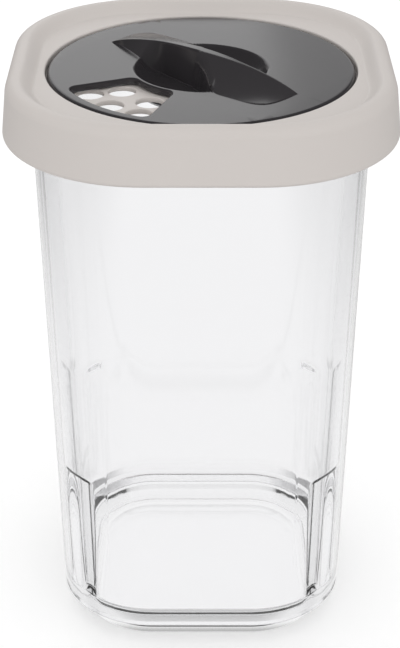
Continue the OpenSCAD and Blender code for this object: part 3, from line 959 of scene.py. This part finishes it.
class SHAKER_OT_stage(bpy.types.Operator):
    """Make the floor, the light and the camera"""
    bl_idname = "shaker.stage"
    bl_label = "Stage"

    def execute(self, context):
        stage = context.scene.shaker_stage
        make_camera(context, stage)
        make_floor(stage)
        make_world(context, stage)
        make_lamps(context)
        context.scene.view_settings.view_transform = "Standard"
        return {"FINISHED"}


# Stage

def make_camera(context, stage):
    """The camera at the photograph's viewing angle."""
    data = bpy.data.cameras.new("camera")
    data.lens = stage.focal_length
    data.sensor_width = 36
    data.shift_x = stage.shift
    data.clip_start = 0.01
    camera = bpy.data.objects.new("camera", data)
    camera.location = (0, -stage.camera_back, stage.camera_up)
    camera.rotation_euler = (QUARTER - stage.camera_pitch, 0, 0)
    context.scene.collection.objects.link(camera)
    context.scene.camera = camera


def span(tree, source, low, high, at_low, at_high):
    """Maps a value from one range onto another, held at its ends."""
    node = tree.nodes.new("ShaderNodeMapRange")
    node.interpolation_type = "SMOOTHSTEP"
    for name, value in (("From Min", low), ("From Max", high), ("To Min", at_low), ("To Max", at_high)):
        node.inputs[name].default_value = value
    tree.links.new(source, node.inputs["Value"])
    return node.outputs["Result"]


def joined(tree, operation, first, second):
    """A sum, difference, product or maximum of two values, either of which may be a plain number."""
    node = tree.nodes.new("ShaderNodeMath")
    node.operation = operation
    for socket, value in zip(node.inputs, (first, second)):
        if isinstance(value, (int, float)):
            socket.default_value = value
        else:
            tree.links.new(value, socket)
    return node.outputs[0]


def picked(tree, switch, when_on, when_off):
    """One of two values, by a switch that is 0 or 1."""
    return joined(tree, "ADD", joined(tree, "MULTIPLY", switch, when_on),
                  joined(tree, "MULTIPLY", joined(tree, "SUBTRACT", 1.0, switch), when_off))


def make_floor(stage):
    """A pale floor that keeps the shadow. Plastic shows it dimmer aside, with a painted contact shadow under
    the foot's front.
    """
    half = 3.0
    foot_front, shadow_band = -0.0265, 0.005
    side_from, side_to = 0.07, 0.26
    corners = [(-half, -half, 0), (half, -half, 0), (half, half, 0), (-half, half, 0)]
    floor = new_object("floor", corners, [(0, 1, 2, 3)])
    nodes = Nodes("pale_floor")
    tree = nodes.tree
    tone = stage.floor_tone
    nodes.set(Roughness=0.9, Base_Color=(tone, tone, tone, 1), Specular_IOR_Level=0.0)
    paths = nodes.add("ShaderNodeLightPath")
    place = nodes.add("ShaderNodeSeparateXYZ")
    nodes.link(nodes.add("ShaderNodeNewGeometry").outputs["Position"], place.inputs[0])
    aside = joined(tree, "ABSOLUTE", place.outputs["X"], 0)
    off_foot = joined(tree, "ABSOLUTE", joined(tree, "SUBTRACT", place.outputs["Y"], foot_front), 0)
    direct = nodes.add("ShaderNodeEmission")
    glow = joined(tree, "MULTIPLY", paths.outputs["Is Camera Ray"], stage.floor_glow)
    nodes.link(glow, direct.inputs["Strength"])
    lit = nodes.add("ShaderNodeAddShader")
    nodes.link(nodes.shader.outputs[0], lit.inputs[0])
    nodes.link(direct.outputs[0], lit.inputs[1])
    shown = nodes.add("ShaderNodeEmission")
    across = span(tree, aside, side_from, side_to, stage.floor_shown, stage.floor_aside)
    # Painted contact shadow of the foot: the floor's glow, as seen in and through plastic, is dimmed in a
    # band at the foot's front
    foot_shadow_paint = span(tree, off_foot, 0.0, shadow_band, stage.painted_foot_shadow, 1.0)
    nodes.link(joined(tree, "MULTIPLY", across, foot_shadow_paint), shown.inputs["Strength"])
    mixed = nodes.add("ShaderNodeMixShader")
    glossy, through = paths.outputs["Is Glossy Ray"], paths.outputs["Is Transmission Ray"]
    nodes.link(joined(tree, "MAXIMUM", glossy, through), mixed.inputs[0])
    nodes.link(lit.outputs[0], mixed.inputs[1])
    nodes.link(shown.outputs[0], mixed.inputs[2])
    nodes.link(mixed.outputs[0], tree.nodes["Material Output"].inputs["Surface"])
    floor.data.materials.append(nodes.material)


def make_world(context, stage):
    """Plain soft light from all round. Gloss shows a bright back only, and the jar shows dim sides."""
    world = bpy.data.worlds.new("studio")
    context.scene.world = world
    world.use_nodes = True
    tree = world.node_tree
    background = tree.nodes["Background"]
    background.inputs["Color"].default_value = (1, 1, 1, 1)
    paths = tree.nodes.new("ShaderNodeLightPath")
    direction = tree.nodes.new("ShaderNodeSeparateXYZ")
    tree.links.new(tree.nodes.new("ShaderNodeTexCoord").outputs["Generated"], direction.inputs[0])
    low_behind = joined(tree, "SUBTRACT", direction.outputs["Y"], direction.outputs["Z"])
    aside = joined(tree, "ABSOLUTE", direction.outputs["X"], 0)
    low = span(tree, low_behind, 0.0, 0.4, 0.0, 1.0)
    narrow = span(tree, aside, 0.25, 0.5, 1.0, 0.0)
    behind = joined(tree, "MULTIPLY", low, narrow)
    mirrored = span(tree, behind, 0.0, 1.0, stage.mirrored_rest, stage.mirrored_back)
    through = span(tree, aside, 0.5, 0.9, 1.0, stage.dim_sides)
    strength = picked(tree, paths.outputs["Is Glossy Ray"], mirrored, stage.even_light)
    strength = picked(tree, paths.outputs["Is Transmission Ray"], through, strength)
    strength = picked(tree, paths.outputs["Is Camera Ray"], 1.0, strength)
    tree.links.new(strength, background.inputs["Strength"])


def make_lamp(context, name, place, size, power, mirrored, target=(0, 0, 0.08)):
    """A soft rectangular lamp that faces a point. It may show in gloss, but not through the jar."""
    data = bpy.data.lights.new(name, "AREA")
    data.shape = "RECTANGLE"
    data.size, data.size_y = size
    data.energy = power
    lamp = bpy.data.objects.new(name, data)
    lamp.location = place
    lamp.rotation_euler = (Vector(target) - Vector(place)).to_track_quat("-Z", "Y").to_euler()
    lamp.visible_transmission = False
    lamp.visible_glossy = mirrored
    context.scene.collection.objects.link(lamp)


def make_lamps(context):
    """A soft lamp over the back, which the dial mirrors, and a wider one over the front."""
    make_lamp(context, "rear_softbox", (-0.3, 1.05, 0.66), (0.8, 0.6), 0.9, True)
    make_lamp(context, "front_softbox", (0.1, -1.0, 0.6), (1.6, 0.8), 2.2, False)


# Panel

class SHAKER_PT_panel(bpy.types.Panel):
    """Settings and steps of the shaker"""
    bl_label = "Spice shaker"
    bl_idname = "SHAKER_PT_panel"
    bl_space_type = "VIEW_3D"
    bl_region_type = "UI"
    bl_category = "Shaker"

    def draw(self, context):
        scene = context.scene
        for operator, settings in (
                (SHAKER_OT_stage, scene.shaker_stage), (SHAKER_OT_jar, scene.shaker_jar),
                (SHAKER_OT_lid, scene.shaker_lid), (SHAKER_OT_dial, scene.shaker_dial)):
            self.layout.operator(operator.bl_idname)
            column = self.layout.column(align=True)
            for name in settings.__annotations__:
                column.prop(settings, name)


GROUPS = {
    "shaker_jar": ShakerJarSettings,
    "shaker_lid": ShakerLidSettings,
    "shaker_dial": ShakerDialSettings,
    "shaker_stage": ShakerStageSettings,
}
CLASSES = (*GROUPS.values(), SHAKER_OT_jar, SHAKER_OT_lid, SHAKER_OT_dial, SHAKER_OT_stage, SHAKER_PT_panel)


def register():
    for cls in CLASSES:
        bpy.utils.register_class(cls)
    for name, group in GROUPS.items():
        setattr(bpy.types.Scene, name, PointerProperty(type=group))


def unregister():
    for name in GROUPS:
        delattr(bpy.types.Scene, name)
    for cls in reversed(CLASSES):
        bpy.utils.unregister_class(cls)


def main():
    """Makes the stage and the pieces."""
    register()
    bpy.ops.shaker.stage()
    bpy.ops.shaker.jar()
    bpy.ops.shaker.lid()
    bpy.ops.shaker.dial()
    bpy.context.view_layer.update()


if __name__ == "__main__":
    main()
